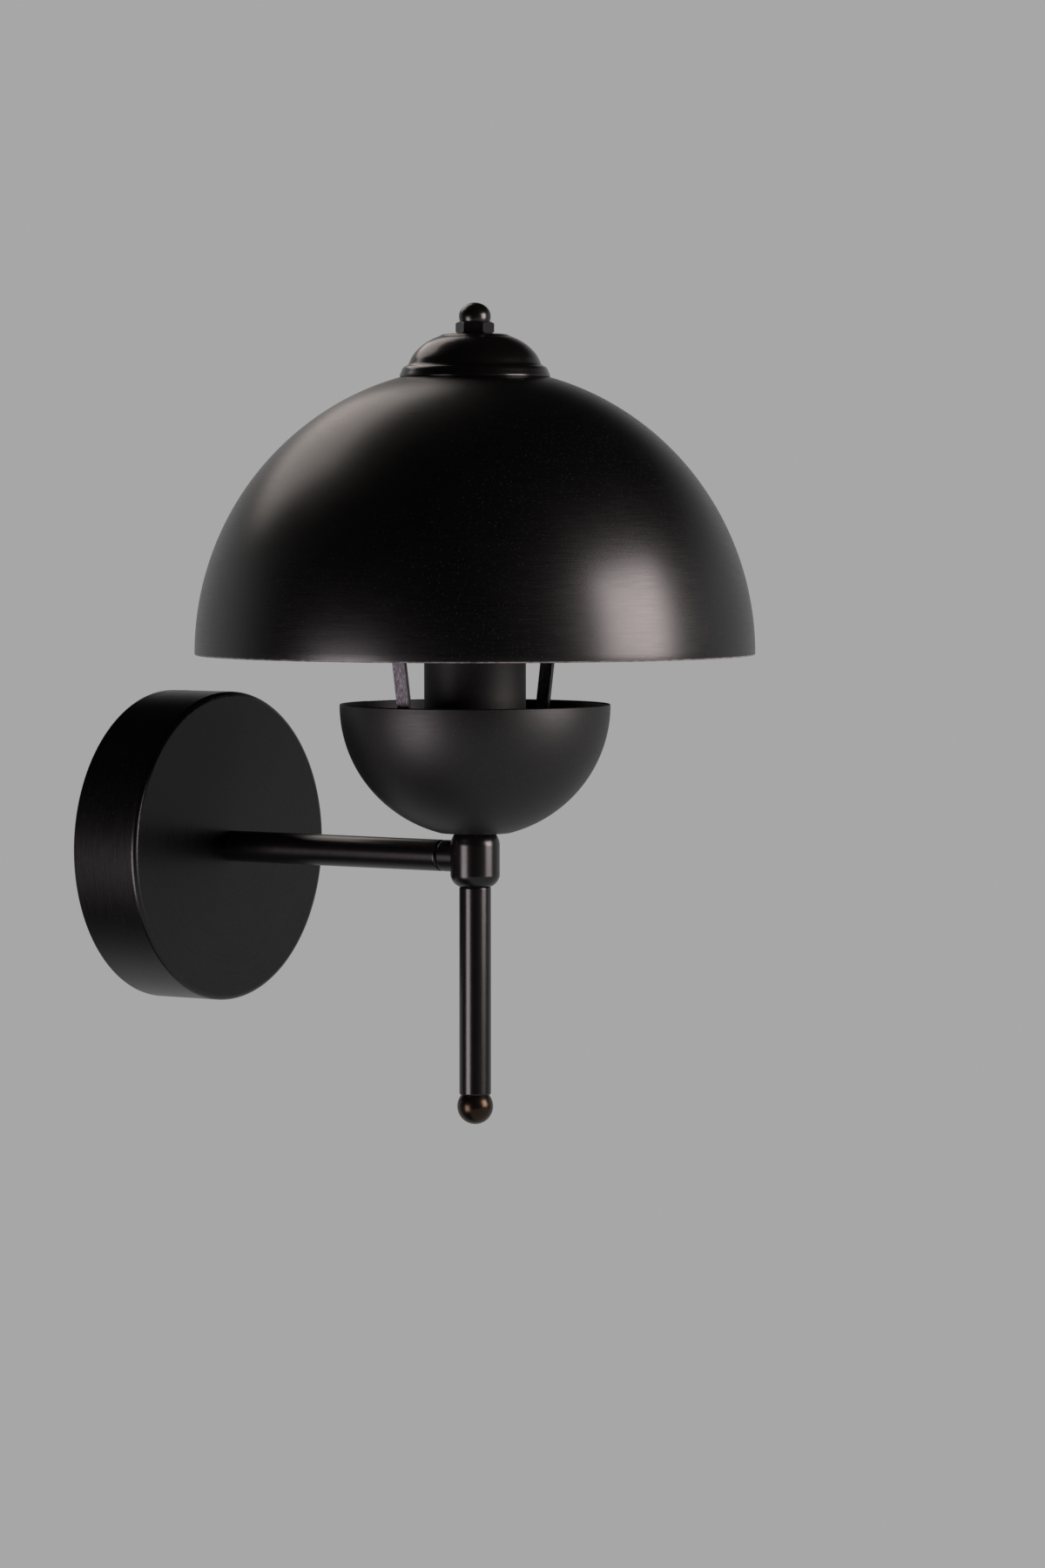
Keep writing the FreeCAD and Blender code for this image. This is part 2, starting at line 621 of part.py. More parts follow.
def bulb_screw_cap():
    points = [(0, BULB_CAP_START), (BULB_CAP_MOUTH, BULB_CAP_START)]
    for turn in range(BULB_THREAD_TURNS):
        base = BULB_THREAD_START + turn * BULB_THREAD_PITCH
        quarter = BULB_THREAD_PITCH / 4
        points += [(BULB_THREAD_ROOT, base), (BULB_CAP_RADIUS, base + quarter),
                   (BULB_CAP_RADIUS, base + 2 * quarter), (BULB_THREAD_ROOT, base + 3 * quarter)]
    points += [(BULB_THREAD_ROOT, BULB_CAP_TOP), (0, BULB_CAP_TOP)]
    return on_axis(turned_points(points))


def bulb_housing():
    start, through = (BULB_CAP_RADIUS + 0.2, BULB_CAP_TOP), (BULB_WAIST, BULB_CAP_TOP + 14)
    end = (math.sqrt(BULB_RADIUS ** 2 - (BULB_JOINT - BULB_MIDDLE) ** 2), BULB_JOINT)
    edges = [line((0, start[1]), start), arc(start, through, end), line(end, (0, end[1])),
             line((0, end[1]), (0, start[1]))]
    return on_axis(turned(edges))


def bulb_diffuser():
    lift = BULB_JOINT - BULB_MIDDLE
    outer, inner = BULB_RADIUS, BULB_RADIUS - BULB_WALL
    wide, lining = math.sqrt(outer ** 2 - lift ** 2), math.sqrt(inner ** 2 - lift ** 2)
    edges = [ball_arc(outer, BULB_MIDDLE, math.degrees(math.asin(lift / outer)), 90),
             ball_arc(inner, BULB_MIDDLE, math.degrees(math.asin(lift / inner)), 90),
             line((lining, BULB_JOINT), (wide, BULB_JOINT)),
             line((0, BULB_MIDDLE + inner), (0, BULB_MIDDLE + outer))]
    return on_axis(turned(edges))


# Harp and what clamps the shade

def harp_reach(height):
    return HARP_AT_CUP_RIM + HARP_SLOPE * (height - CUP_RIM)


def harp_saddle():
    inset = HARP_THICKNESS * math.sqrt(1 + HARP_SLOPE ** 2)
    foot = harp_reach(HARP_BOTTOM) - inset
    tip = harp_reach(SADDLE_END) - inset
    points = [Vec(-tip, 0, SADDLE_END), Vec(-foot, 0, HARP_BOTTOM),
              Vec(foot, 0, HARP_BOTTOM), Vec(tip, 0, SADDLE_END)]
    strap = strip_along(points, [SADDLE_BEND] * 2, HARP_WIDTH, HARP_THICKNESS, ALONG_Y)
    pad = Part.makeCylinder(SADDLE_PAD, HARP_THICKNESS, Vec(0, 0, SADDLE_BASE))
    strap = strap.fuse(pad).removeSplitter()
    strap = strap.cut(Part.makeCylinder(STEM_HOLE, 4, Vec(0, 0, SADDLE_BASE - 1)))
    for hole in harp_screw_holes():
        strap = strap.cut(hole)
    return on_axis(strap)


def harp_loop():
    foot, shoulder = harp_reach(LOOP_START), harp_reach(HARP_TOP)
    points = [Vec(-foot, 0, LOOP_START), Vec(-shoulder, 0, HARP_TOP), Vec(shoulder, 0, HARP_TOP),
              Vec(foot, 0, LOOP_START)]
    strap = strip_along(points, [HARP_BOW] * 2, HARP_WIDTH, HARP_THICKNESS, ALONG_Y)
    pad = Part.makeCylinder(BRIDGE_PAD, HARP_THICKNESS, Vec(0, 0, HARP_TOP - HARP_THICKNESS / 2))
    strap = strap.fuse(pad).removeSplitter()
    strap = strap.cut(Part.makeCylinder(STUD_HOLE, 4, Vec(0, 0, HARP_TOP - 2)))
    for hole in harp_screw_holes():
        strap = strap.cut(hole)
    return on_axis(strap)


def harp_leg_frame(side):
    """A point on the leg's middle line at the screw's height, and the outward normal there."""
    normal = Vec(side, 0, -HARP_SLOPE).normalize()
    return Vec(side * harp_reach(HARP_SCREW_HEIGHT), 0, HARP_SCREW_HEIGHT), normal


def harp_screw_holes():
    holes = []
    for side in (-1, 1):
        place, normal = harp_leg_frame(side)
        holes.append(Part.makeCylinder(HARP_SCREW_RADIUS + RUNNING_GAP, 12, place - normal * 6, normal))
    return holes


def standing_on(shape, place, normal):
    turn = FreeCAD.Rotation(UP, normal)
    moved = shape.copy()
    moved.Placement = FreeCAD.Placement(place, turn)
    return moved


def harp_screws():
    screws = []
    for side in (-1, 1):
        place, normal = harp_leg_frame(side)
        screw = pan_screw(HARP_SCREW_RADIUS, HARP_SCREW_LENGTH, *HARP_SCREW_HEAD)
        screws.append(on_axis(standing_on(screw, place + normal * (HARP_THICKNESS / 2), normal)))
    return Part.Compound(screws)


def harp_nuts():
    nuts = []
    for side in (-1, 1):
        place, normal = harp_leg_frame(side)
        piece = nut(HARP_NUT_FLAT, HARP_SCREW_RADIUS + RUNNING_GAP, 0, HARP_NUT)
        nuts.append(on_axis(standing_on(piece, place - normal * (1.5 * HARP_THICKNESS), -normal)))
    return Part.Compound(nuts)


def shade_stud():
    top = NUT_TOP + FINIAL_BORE - 0.4
    return on_axis(Part.makeCylinder(STUD_RADIUS, top - STUD_BOTTOM, Vec(0, 0, STUD_BOTTOM)))


def stud_locknut():
    high = HARP_TOP - HARP_THICKNESS / 2
    return on_axis(nut(CLAMP_NUT_FLAT, STUD_RADIUS + RUNNING_GAP, high - CLAMP_NUT, high))


def shade_spacer():
    low = HARP_TOP + HARP_THICKNESS / 2
    high = SHADE_TOP - SHEET - SHADE_WASHER
    return on_axis(ring(SPACER_RADIUS, STUD_RADIUS + RUNNING_GAP, low, high))


def shade_washer():
    high = SHADE_TOP - SHEET
    return on_axis(ring(SHADE_WASHER_RADIUS, STUD_HOLE, high - SHADE_WASHER, high))


# Shade, cap and finial

def dome_shade():
    return on_axis(shell_of_ellipses(SHADE_RIM, SHADE_RADIUS, SHADE_RISE, SHADE_TOP, STUD_HOLE))


def cap_outline(inset):
    """The cap's outside, or its lining when inset is the sheet thickness: lip, cove, crown and a flat top."""
    half, full = inset * 0.7, inset
    lip = (CAP_RADIUS - full, CAP_LIP + LIP_SLANT * inset / SHEET)
    lip_top = (CAP_RADIUS - full, CAP_LIP + 1.6)
    lip_over = (CAP_RADIUS - 0.45 - half, CAP_LIP + 3.0 - half)
    cove_start = (CAP_RADIUS - 1.9 - half, CAP_LIP + 3.9 - half)
    cove = (CAP_RADIUS - 4.1 - half, CAP_LIP + 5.6 - half)
    crown_start = (CAP_RADIUS - 5.2 - full, CAP_LIP + 8.1)
    crown = (CAP_RADIUS - 7.9 - half, CAP_LIP + 12.1 - half)
    crown_end = (10.0 - half / 2, CAP_TOP - 0.35 - full)
    top = (9.2 - half / 2, CAP_TOP - full)
    edges = [line(lip, lip_top), arc(lip_top, lip_over, cove_start), arc(cove_start, cove, crown_start)]
    edges += [arc(crown_start, crown, crown_end), line(crown_end, top), line(top, (STUD_HOLE, top[1]))]
    return edges


def top_cap():
    edges = cap_outline(0) + cap_outline(SHEET)
    edges.append(line((CAP_RADIUS, CAP_LIP), (CAP_RADIUS - SHEET, CAP_LIP + LIP_SLANT)))
    edges.append(line((STUD_HOLE, CAP_TOP), (STUD_HOLE, CAP_TOP - SHEET)))
    return on_axis(turned(edges))


def cap_nut():
    return on_axis(nut(CAP_NUT_FLAT, STUD_RADIUS + RUNNING_GAP, CAP_TOP, NUT_TOP))


def ball_finial():
    seat = math.sqrt(FINIAL_RADIUS ** 2 - FINIAL_SINK ** 2)
    bore = STUD_RADIUS + RUNNING_GAP
    low, middle = NUT_TOP, FINIAL_MIDDLE
    edges, top = crown(middle, FINIAL_RADIUS, FINIAL_CROWN)
    edges.append(ball_arc(FINIAL_RADIUS, middle, -math.degrees(math.asin(FINIAL_SINK / FINIAL_RADIUS)), 0))
    edges += lines([(seat, low), (bore, low), (bore, low + FINIAL_BORE), (0, low + FINIAL_BORE), top])
    return on_axis(turned(edges))


PIECES = [
    wall_bracket, canopy, canopy_grub_screws,
    terminal_block, terminal_screws, terminal_block_screw, earth_screw, earth_lug, arm_earth_tag,
    earth_lead, live_lead, neutral_lead,
    arm_nipple, arm_washer, arm_locknut, arm_tube, arm_hub_nipple, hub, rod_nipple, drop_rod, rod_ball,
    stem_nipple, cup, cup_washer, cup_locknut, saddle_locknut,
    harp_saddle, harp_loop, harp_screws, harp_nuts,
    lampholder_sleeve, lampholder_body, lampholder_insert, lampholder_screw_shell, lampholder_contact,
    shade_stud, stud_locknut, shade_spacer, shade_washer,
    bulb_contact, bulb_cap_insulator, bulb_screw_cap, bulb_housing, bulb_diffuser,
    dome_shade, top_cap, cap_nut, ball_finial,
]


def main():
    os.makedirs("parts", exist_ok=True)
    for piece in PIECES:
        shape = piece()
        if not shape.isValid() or not shape.Solids:
            raise ValueError(piece.__name__ + " is not a sound solid")
        shape.exportStep("parts/" + piece.__name__ + ".step")


main()
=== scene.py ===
"""Black wall light with a domed shade: finishes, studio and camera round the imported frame.

Metres throughout, in the frame's own axes: the wall is y = 0, the light reaches along -Y and +Z is up.
"""
import json
import math

import bmesh
import bpy
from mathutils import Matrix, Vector

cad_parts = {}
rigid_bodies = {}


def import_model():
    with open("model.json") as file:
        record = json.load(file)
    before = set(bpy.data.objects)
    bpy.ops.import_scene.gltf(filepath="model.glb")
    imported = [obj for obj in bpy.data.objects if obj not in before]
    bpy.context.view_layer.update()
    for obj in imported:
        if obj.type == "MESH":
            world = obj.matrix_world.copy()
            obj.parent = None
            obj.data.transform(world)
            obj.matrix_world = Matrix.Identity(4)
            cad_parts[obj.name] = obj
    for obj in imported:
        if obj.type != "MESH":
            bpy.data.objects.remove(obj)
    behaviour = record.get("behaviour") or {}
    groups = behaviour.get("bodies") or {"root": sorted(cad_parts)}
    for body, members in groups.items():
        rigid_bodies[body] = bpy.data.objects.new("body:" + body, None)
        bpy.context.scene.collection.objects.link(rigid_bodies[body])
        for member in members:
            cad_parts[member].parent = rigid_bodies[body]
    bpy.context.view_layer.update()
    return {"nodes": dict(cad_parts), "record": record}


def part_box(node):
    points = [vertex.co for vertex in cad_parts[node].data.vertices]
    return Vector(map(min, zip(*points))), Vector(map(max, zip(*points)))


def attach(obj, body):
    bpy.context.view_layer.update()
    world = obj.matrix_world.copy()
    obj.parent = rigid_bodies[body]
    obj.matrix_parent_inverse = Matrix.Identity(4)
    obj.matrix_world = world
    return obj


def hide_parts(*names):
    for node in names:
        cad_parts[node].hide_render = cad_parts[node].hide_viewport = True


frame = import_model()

MM = 0.001
NODES = frame["nodes"]

shade_low, shade_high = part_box("dome_shade")
REACH = -(shade_low.y + shade_high.y) / 2      # wall to the upright axis
AXIS = Vector((0, -REACH, 0))                  # foot of the upright axis, level with the arm


# Colours and nodes

def linear(hex_colour):
    """The linear colour, with alpha, of an sRGB hex value."""
    parts = [int(hex_colour[k:k + 2], 16) / 255 for k in (1, 3, 5)]
    return [p / 12.92 if p <= 0.04045 else ((p + 0.055) / 1.055) ** 2.4 for p in parts] + [1.0]


def fill(node, inputs):
    """Fill a node's inputs, each found by number or name, with a plain value, an sRGB hex colour, or an
    output or node to link. A name stands for the socket in use, a node for its first output in use."""
    for place, value in inputs.items():
        if isinstance(place, str):
            place = next(k for k, each in enumerate(node.inputs) if each.name == place and each.enabled)
        socket = node.inputs[place]
        if isinstance(value, bpy.types.Node):
            value = next(output for output in value.outputs if output.enabled)
        if isinstance(value, bpy.types.NodeSocket):
            node.id_data.links.new(value, socket)
        else:
            socket.default_value = linear(value) if isinstance(value, str) else value


def add(tree, kind, inputs=None, **settings):
    """Add a node with its settings, and fill its inputs."""
    node = tree.nodes.new("ShaderNode" + kind)
    for name, value in settings.items():
        setattr(node, name, value)
    fill(node, inputs or {})
    return node


def blank(name):
    """A new material, its tree, its surface shader and the place of a point on the object."""
    material = bpy.data.materials.new(name)
    material.use_nodes = True
    tree = material.node_tree
    return material, tree, tree.nodes["Principled BSDF"], add(tree, "TexCoord").outputs["Object"]


def cells(width):
    """The scale of a pattern whose cells are width millimetres across."""
    return 1 / (width * MM)


def vary(tree, shader, pattern, colours, roughness):
    """Let colour and roughness drift together, from their first value to their second, with a pattern. The
    colour comes back, for what lies on it."""
    colour = add(tree, "Mix", {"Factor": pattern, "A": colours[0], "B": colours[1]}, data_type="RGBA")
    rough = add(tree, "MapRange", {"Value": pattern, "To Min": roughness[0], "To Max": roughness[1]})
    fill(shader, {"Base Color": colour, "Roughness": rough})
    return colour


def skin(tree, where, grain, depth, strength=1.0, under=None):
    """Fine bumps, grain millimetres wide and depth millimetres high, over the coarser ones under them."""
    pattern = add(tree, "TexNoise", {"Vector": where, "Scale": cells(grain)})
    bumps = add(tree, "Bump", {"Height": pattern, "Distance": depth * MM, "Strength": strength})
    if under is not None:
        fill(bumps, {"Normal": under})
    return bumps


def round_an_axis(tree, where, centre, upright, arc_length, pitch):
    """Coordinates round an axis: along the arc in steps of arc_length, across it in steps of pitch, in mm."""
    moved = add(tree, "VectorMath", {0: where, 1: centre}, operation="SUBTRACT")
    parts = add(tree, "SeparateXYZ", {"Vector": moved}).outputs
    side, other, along = parts["X"], parts["Z"], parts["Y"]
    if upright:
        other, along = along, other
    square = add(tree, "Math", {0: side, 1: 2.0}, operation="POWER")
    total = add(tree, "Math", {0: other, 1: other, 2: square}, operation="MULTIPLY_ADD")
    radius = add(tree, "Math", {0: total}, operation="SQRT")
    angle = add(tree, "Math", {0: side, 1: other}, operation="ARCTAN2")
    arc = add(tree, "Math", {0: angle, 1: radius}, operation="MULTIPLY")
    steps = {}
    for place, (value, step) in enumerate(((arc, arc_length), (along, pitch), (radius, pitch))):
        steps[place] = add(tree, "Math", {0: value, 1: cells(step)}, operation="MULTIPLY")
    return add(tree, "CombineXYZ", steps)


def turning_lines(tree, where, axis, arc_length, pitch, **breaks):
    """Broken lines round an axis, as spinning and turning leave them. Real ones are about 0.1 mm apart, too
    fine to show, so they are drawn a few times as coarse."""
    around = round_an_axis(tree, where, *axis, arc_length, pitch)
    return add(tree, "TexNoise", {"Vector": around, "Scale": 1.0, **breaks})


# Finishes

ON_AXIS = (AXIS, True)         # turned round the upright axis
ON_ARM = (Vector(), False)     # turned round the arm


def satin_powder_coat(name, axis, gloss, rim=None, lines=0.006):
    """Satin black powder coat baked on spun steel: near-black with a wide soft highlight, a fine orange peel,
    a few specks of dust, and the spinning lines of the steel showing through as broken hairlines round the
    axis, lines millimetres deep. A rim whose height is given gets a painted highlight: a paler band along
    its edge, broken into patches."""
    material, tree, shader, where = blank(name)
    clouds = add(tree, "TexNoise", {"Vector": where, "Scale": cells(22)})
    black = add(tree, "Mix", {"Factor": clouds, "A": "#030303", "B": "#060606"}, data_type="RGBA")
    specks = add(tree, "TexNoise", {"Vector": where, "Scale": cells(0.7), "Detail": 0.0})
    dust = add(tree, "MapRange", {"Value": specks, "From Min": 0.7, "From Max": 0.78})
    colour = add(tree, "Mix", {"Factor": dust, "A": black, "B": "#1d1b1b"}, data_type="RGBA")
    # painted highlight: a pale colour band along the rim's edge, broken into patches by noise
    if rim is not None:
        height = add(tree, "SeparateXYZ", {"Vector": where}).outputs["Z"]
        edge = add(tree, "MapRange", {"Value": height, "To Min": 1.0, "To Max": 0.0,
                                      "From Min": rim + 0.25 * MM, "From Max": rim + 0.6 * MM})
        patch_noise = add(tree, "TexNoise", {"Vector": where, "Scale": cells(2.5)})
        patches = add(tree, "MapRange", {"Value": patch_noise, "From Min": 0.35, "From Max": 0.6, "To Min": 0.3})
        painted_rim_highlight = add(tree, "Math", {0: edge, 1: patches}, operation="MULTIPLY")
        # the pale colour here is a painted highlight on the rim's edge
        colour = add(tree, "Mix", {"Factor": painted_rim_highlight, "A": colour, "B": "#a09b98"}, data_type="RGBA")
    hairlines = turning_lines(tree, where, axis, arc_length=11, pitch=0.45, Detail=3.0, Roughness=0.65)
    lined = add(tree, "MapRange", {"Value": hairlines, "From Min": 0.35, "From Max": 0.65,
                                   "To Min": gloss - 0.02, "To Max": gloss + 0.03})
    cloudy = add(tree, "MapRange", {"Value": clouds, "To Min": -0.02, "To Max": 0.02})
    grooves = add(tree, "Bump", {"Height": hairlines, "Distance": lines * MM})
    fill(shader, {"IOR": 1.5, "Base Color": colour, "Roughness": add(tree, "Math", {0: lined, 1: cloudy}),
                  "Normal": skin(tree, where, grain=0.7, depth=0.02, strength=0.5, under=grooves)})
    return material


def black_lacquer(name, axis, roughness=(0.23, 0.27), worn=False, warm=False):
    """Gloss black lacquer on turned brass and steel: tight highlights, slight drag lines along the turning.
    Worn: small spots rubbed down to the brass. Warm: so thin that the brass under it warms the highlights."""
    material, tree, shader, where = blank(name)
    haze = add(tree, "TexNoise", {"Vector": where, "Scale": cells(6)})
    black = vary(tree, shader, haze, ("#080707", "#0f0c0b"), roughness)
    if worn:
        patch_noise = add(tree, "TexNoise", {"Vector": where, "Scale": cells(2.6), "Detail": 4.0, "Roughness": 0.7})
        spots = add(tree, "MapRange", {"Value": patch_noise, "From Min": 0.63, "From Max": 0.72})
        colour = add(tree, "Mix", {"Factor": spots, "A": black, "B": "#5b4027"}, data_type="RGBA")
        fill(shader, {"Base Color": colour, "Metallic": spots})
    drag = turning_lines(tree, where, axis, arc_length=9, pitch=0.6)
    grooves = add(tree, "Bump", {"Height": drag, "Distance": 0.001 * MM})
    fill(shader, {"IOR": 1.52,
                  "Normal": skin(tree, where, grain=1.6, depth=0.002, strength=0.5, under=grooves)})
    if warm:
        fill(shader, {"IOR": 1.58, "Specular Tint": "#e3bf9c"})
    return material


def zinc_plated_steel():
    """Bright zinc on pressed and turned steel: pale blue-grey metal with a soft mottle and a fine grain."""
    material, tree, shader, where = blank("zinc_plated_steel")
    mottle = add(tree, "TexNoise", {"Vector": where, "Scale": cells(2.4), "Detail": 4.0})
    vary(tree, shader, mottle, ("#9a9fa6", "#c9ccd0"), (0.42, 0.26))
    fill(shader, {"Metallic": 1.0, "Normal": skin(tree, where, grain=0.3, depth=0.008)})
    return material


def bare_strip_steel():
    """Blackened strip steel of the harp, drawn through a die: dark metal, scratched brighter up the strip."""
    material, tree, shader, where = blank("bare_strip_steel")
    across, along = cells(0.35), cells(9)
    longways = add(tree, "Mapping", {"Vector": where, "Scale": (across, across, along)})
    scratch = add(tree, "TexNoise", {"Vector": longways, "Scale": 1.0, "Detail": 3.0})
    bright = add(tree, "MapRange", {"Value": scratch, "From Min": 0.45, "From Max": 0.75})
    colour = add(tree, "Mix", {"Factor": bright, "A": "#424144", "B": "#7c7a7f"}, data_type="RGBA")
    rough = add(tree, "MapRange", {"Value": scratch, "To Min": 0.48, "To Max": 0.3})
    grooves = add(tree, "Bump", {"Height": scratch, "Distance": 0.008 * MM})
    fill(shader, {"Metallic": 1.0, "Base Color": colour, "Roughness": rough, "Normal": grooves})
    return material


def turned_metal(name, dark, light, roughness):
    """Turned brass or nickel plate: plain metal, with the lathe's fine lines and a little tarnish."""
    material, tree, shader, where = blank(name)
    tarnish = add(tree, "TexNoise", {"Vector": where, "Scale": cells(3.5), "Detail": 4.0})
    vary(tree, shader, tarnish, (dark, light), (roughness + 0.08, roughness - 0.06))
    lathe = turning_lines(tree, where, ON_AXIS, arc_length=8, pitch=0.25)
    grooves = add(tree, "Bump", {"Height": lathe, "Distance": 0.006 * MM})
    fill(shader, {"Metallic": 1.0, "Normal": grooves})
    return material


def moulded(name, dark, light, roughness, ior, grain, depth, soaks=0.0):
    """Moulded or glazed piece: even colour that drifts a little, with a fine skin of the mould or kiln.
    soaks is how much of the light sinks in before it comes back out."""
    material, tree, shader, where = blank(name)
    drift = add(tree, "TexNoise", {"Vector": where, "Scale": cells(12)})
    vary(tree, shader, drift, (dark, light), (roughness - 0.04, roughness + 0.05))
    fill(shader, {"IOR": ior, "Subsurface Weight": soaks, "Normal": skin(tree, where, grain, depth)})
    return material


def striped_insulation():
    """Extruded PVC wire insulation: soft green with a yellow stripe wound along it."""
    material, tree, shader, where = blank("green_yellow_pvc")
    wave = add(tree, "TexWave", {"Vector": where, "Scale": cells(7), "Distortion": 0.6},
               bands_direction="DIAGONAL").outputs["Fac"]
    stripe = add(tree, "MapRange", {"Value": wave, "From Min": 0.62, "From Max": 0.68})
    colour = add(tree, "Mix", {"Factor": stripe, "A": "#1f7a38", "B": "#e3c92b"}, data_type="RGBA")
    fill(shader, {"IOR": 1.53, "Roughness": 0.42, "Base Color": colour,
                  "Normal": skin(tree, where, grain=0.5, depth=0.01)})
    return material


FINISHES = {
    # Phenolic resin: almost black brown, with a dull moulded gloss
    "phenolic_black": moulded("moulded_phenolic", "#14100d", "#1c1713",
                              roughness=0.36, ior=1.6, grain=1.2, depth=0.012),
    # Steatite: matt off-white ceramic, a little chalky
    "steatite": moulded("pressed_steatite", "#d9d3c4", "#e6e1d4",
                        roughness=0.56, ior=1.58, grain=0.4, depth=0.02),
    # Nylon: warm white, slightly waxy, moulded
    "polyamide_white": moulded("moulded_nylon", "#e2dfd6", "#ecebe4",
                               roughness=0.42, ior=1.53, grain=0.8, depth=0.012, soaks=0.1),
    # PVC wire insulation, extruded: soft gloss
    "insulation_brown": moulded("brown_pvc", "#4a2a17", "#57331d",
                                roughness=0.42, ior=1.53, grain=0.5, depth=0.01),
    "insulation_blue": moulded("blue_pvc", "#1d5c9c", "#2769ab",
                               roughness=0.42, ior=1.53, grain=0.5, depth=0.01),
    "insulation_green_yellow": striped_insulation(),
    # The bulb's housing, white plastic with a fine moulded texture
    "bulb_housing_white": moulded("moulded_bulb_housing", "#e8e8e6", "#f0f0ee",
                                  roughness=0.38, ior=1.5, grain=0.6, depth=0.015),
    # Opal: milk-white diffuser that light soaks into, with a silky blown surface
    "opal": moulded("blown_opal", "#f1efe9", "#f6f5f0",
                    roughness=0.3, ior=1.5, grain=4.0, depth=0.01, soaks=0.35),
    # Black glass pressed into the bulb's cap: deep and shiny
    "glass_black": moulded("pressed_black_glass", "#0b0b10", "#12121a",
                           roughness=0.12, ior=1.52, grain=1.5, depth=0.01),
    "zinc_steel": zinc_plated_steel(),
    "harp_steel": bare_strip_steel(),
    "brass": turned_metal("turned_brass", "#a8843c", "#cfae62", roughness=0.3),
    "nickel": turned_metal("nickel_plate", "#a9a59c", "#cbc8c0", roughness=0.24),
}
SPUN_COAT = {
    "dome_shade": satin_powder_coat("satin_powder_coat_shade", ON_AXIS, gloss=0.3, rim=shade_low.z),
    "cup": satin_powder_coat("satin_powder_coat_cup", ON_AXIS, gloss=0.46),
    "lampholder_sleeve": satin_powder_coat("matt_powder_coat_sleeve", ON_AXIS, gloss=0.6),
    "canopy": satin_powder_coat("satin_powder_coat_canopy", ON_ARM, gloss=0.29, lines=0.001),
}
LACQUER = {
    "arm_tube": black_lacquer("black_lacquer_arm", ON_ARM),
    "hub": black_lacquer("black_lacquer_rubbed", ON_AXIS, worn=True),
    "top_cap": black_lacquer("black_lacquer_cap", ON_AXIS, roughness=(0.19, 0.25)),
    "rod_ball": black_lacquer("black_lacquer_ball", ON_AXIS, roughness=(0.24, 0.3), warm=True),
}
PLAIN_LACQUER = black_lacquer("black_lacquer_upright", ON_AXIS)


def dress_nodes():
    """Give every node of the frame the finish of its material slot."""
    for part in frame["record"]["subparts"]:
        node, slot = part["node"], part["material_slot"]
        if slot == "powder_coat_black":
            finish = SPUN_COAT[node]
        elif slot == "gloss_black":
            finish = LACQUER.get(node, PLAIN_LACQUER)
        else:
            finish = FINISHES[slot]
        mesh = NODES[node].data
        mesh.materials.clear()
        mesh.materials.append(finish)


dress_nodes()


# Spun pieces, finer than the frame's own mesh; sizes here are in millimetres

SHEET = 1.0
STUD_HOLE = 4.3                # radius
SHADE_FLAT = 14.0              # radius of the flat spot on top of the shade
SECTORS = 192
RIM_STEPS = 8
SHARP_EDGE = math.radians(50)  # a fold stronger than this stays crisp
# Radius and height of the cap's outside: rolled edge, leaning lip, cove, crown, raised ring and flat
CAP_WALL = [(28.1, 0.0), (28.3, 0.3), (28.25, 0.8), (27.8, 1.9), (27.3, 3.1), (26.8, 3.7),
            (26.1, 4.1), (25.4, 4.45), (24.9, 5.1), (24.5, 6.0), (24.0, 7.1), (23.4, 8.1),
            (22.6, 9.2), (21.5, 10.4), (20.1, 11.7), (18.5, 12.9), (16.6, 14.0), (14.9, 14.8),
            (13.7, 15.25), (13.0, 15.6), (12.3, 15.95), (11.6, 16.05), (10.8, 16.15), (9.5, 16.3),
            (STUD_HOLE, 16.35)]
CAP_LINING_DROP = 0.6          # the cap's lining lies this far under its outside, and a sheet further in
CAP_LIP_SLANT = 0.35           # rise of the lip's lower edge, from outside to lining


def ellipse_wall(low, high, radius, stop, steps=60):
    """Radius and height of a bowl's wall, from its widest level up to the radius where it stops."""
    end = math.acos(stop / radius)
    rise = (high - low) / math.sin(end)
    turns = [end * k / steps for k in range(steps + 1)]
    return [(radius * math.cos(turn), low + rise * math.sin(turn)) for turn in turns]


def smooth_wall(points, steps=6):
    """A soft curve through the points, as a spinning tool would leave it. At each point it runs parallel to
    the line between the points before and after."""
    ends = [points[0]] + points + [points[-1]]
    wall = []
    for a, b, c, d in zip(ends, ends[1:], ends[2:], ends[3:]):
        for k in range(steps):
            t = k / steps
            wall.append([(2 * q + (r - p) * t + (2 * p - 5 * q + 4 * r - s) * t * t
                          + (3 * q - p - 3 * r + s) * t ** 3) / 2 for p, q, r, s in zip(a, b, c, d)])
    return wall + [points[-1]]


def ring_of_points(shape, radius, height):
    """One ring of a spun piece round the upright axis."""
    points = []
    for k in range(SECTORS):
        turn = 2 * math.pi * k / SECTORS
        points.append(shape.verts.new((AXIS.x + radius * MM * math.cos(turn),
                                       AXIS.y + radius * MM * math.sin(turn), height * MM)))
    return points


def spin(name, node, wall, finish):
    """Turn a closed outline (radius and height above the arm) round the upright axis, in place of a node."""
    shape = bmesh.new()
    rings = [ring_of_points(shape, radius, height) for radius, height in wall]
    for ring, after in zip(rings, rings[1:] + rings[:1]):
        for k in range(SECTORS):
            turn = (k + 1) % SECTORS
            shape.faces.new((ring[k], ring[turn], after[turn], after[k]))
    bmesh.ops.recalc_face_normals(shape, faces=shape.faces)
    mesh = bpy.data.meshes.new(name)
    shape.to_mesh(mesh)
    shape.free()
    mesh.materials.append(finish)
    mesh.shade_smooth()
    mesh.set_sharp_from_angle(angle=SHARP_EDGE)
    thing = bpy.data.objects.new(name, mesh)
    bpy.context.scene.collection.objects.link(thing)
    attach(thing, "shade")
    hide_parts(node)


